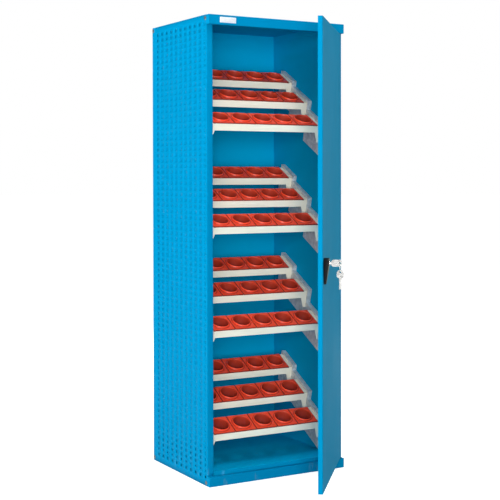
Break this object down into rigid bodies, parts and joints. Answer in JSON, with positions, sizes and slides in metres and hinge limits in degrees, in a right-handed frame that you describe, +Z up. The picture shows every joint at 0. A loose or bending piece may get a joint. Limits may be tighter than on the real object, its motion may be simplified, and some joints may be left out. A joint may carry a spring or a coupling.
{
  "type": "tool cabinet",
  "caption": "Tall blue steel cabinet with perforated sides, a swing door and stepped trays of round plastic tool-holder sockets.",
  "frame": {"origin": "on the floor, below the middle of the cabinet's width and depth", "axes": "+X to the user's right as they face the door, +Y from front to back, +Z up"},
  "size_m": [0.67, 1.1213, 2],
  "materials": {
    "shell_paint": "semi-gloss blue powder coat",
    "inner_paint": "semi-gloss blue powder coat, inside",
    "tray_paint": "cream powder coat",
    "insert_plastic": "moulded red plastic",
    "galvanised": "galvanised sheet",
    "bush_plastic": "black plastic",
    "plate_metal": "bare satin plate",
    "steel": "zinc-plated steel",
    "handle_plastic": "black handle",
    "chrome": "chrome",
    "key_metal": "nickel-plated steel"
  },
  "bodies": {
    "cabinet": {"right_side_panel": "shell_paint", "left_side_panel": "shell_paint", "right_inner_wall": "inner_paint", "left_inner_wall": "inner_paint", "back_panel": "inner_paint", "top_cap": "inner_paint", "base_tray": "inner_paint", "top_fascia": "shell_paint", "base_fascia": "shell_paint", "hinge_bushes": "bush_plastic", "blank_plate": "plate_metal", "group_1_bracket_right": "galvanised", "group_1_bracket_left": "galvanised", "group_1_frame_front": "tray_paint", "group_1_frame_middle": "tray_paint", "group_1_frame_back": "tray_paint", "group_2_bracket_right": "galvanised", "group_2_bracket_left": "galvanised", "group_2_frame_front": "tray_paint", "group_2_frame_middle": "tray_paint", "group_2_frame_back": "tray_paint", "group_3_bracket_right": "galvanised", "group_3_bracket_left": "galvanised", "group_3_frame_front": "tray_paint", "group_3_frame_middle": "tray_paint", "group_3_frame_back": "tray_paint", "group_4_bracket_right": "galvanised", "group_4_bracket_left": "galvanised", "group_4_frame_front": "tray_paint", "group_4_frame_middle": "tray_paint", "group_4_frame_back": "tray_paint", "front_inserts": "insert_plastic", "middle_inserts": "insert_plastic", "back_inserts": "insert_plastic"},
    "door": {"door_panel": "shell_paint", "door_stiffener": "shell_paint", "hinge_pins": "steel", "rod_guides": "galvanised"},
    "handle": {"handle_lever": "handle_plastic", "handle_spindle": "steel", "lock_barrel": "chrome", "lock_cam": "galvanised"},
    "rod_upper": {"lock_rod_upper": "galvanised"},
    "rod_lower": {"lock_rod_lower": "galvanised"},
    "key": {"lock_plug": "chrome", "working_key": "key_metal"},
    "ring": {"key_ring": "key_metal", "spare_key": "key_metal"}
  },
  "joints": [
    {"name": "door_swing", "type": "hinge", "parent": "cabinet", "child": "door", "pos_m": [0.311, -0.293, 1], "axis": [0, 0, 1], "range_deg": [-52, 58]},
    {"name": "handle_turn", "type": "hinge", "parent": "door", "child": "handle", "pos_m": [-0.04919, -0.76539, 0.969], "axis": [0.788, -0.6157, 0], "range_deg": [0, 90]},
    {"name": "rod_upper_slide", "type": "slide", "parent": "door", "child": "rod_upper", "axis": [0, 0, 1], "range_m": [0, 0.014]},
    {"name": "rod_lower_slide", "type": "slide", "parent": "door", "child": "rod_lower", "axis": [0, 0, -1], "range_m": [0, 0.014]},
    {"name": "key_turn", "type": "hinge", "parent": "handle", "child": "key", "pos_m": [-0.04919, -0.76539, 0.969], "axis": [0.788, -0.6157, 0], "range_deg": [0, 90]},
    {"name": "ring_swing", "type": "hinge", "parent": "key", "child": "ring", "pos_m": [0.00243, -0.80571, 0.969], "axis": [0.6157, 0.788, 0], "range_deg": [-60, 15]}
  ],
  "couplings": [
    {"joint": "rod_upper_slide", "follows": "handle_turn", "m_per_rad": 0.0089127},
    {"joint": "rod_lower_slide", "follows": "handle_turn", "m_per_rad": 0.0089127}
  ]
}
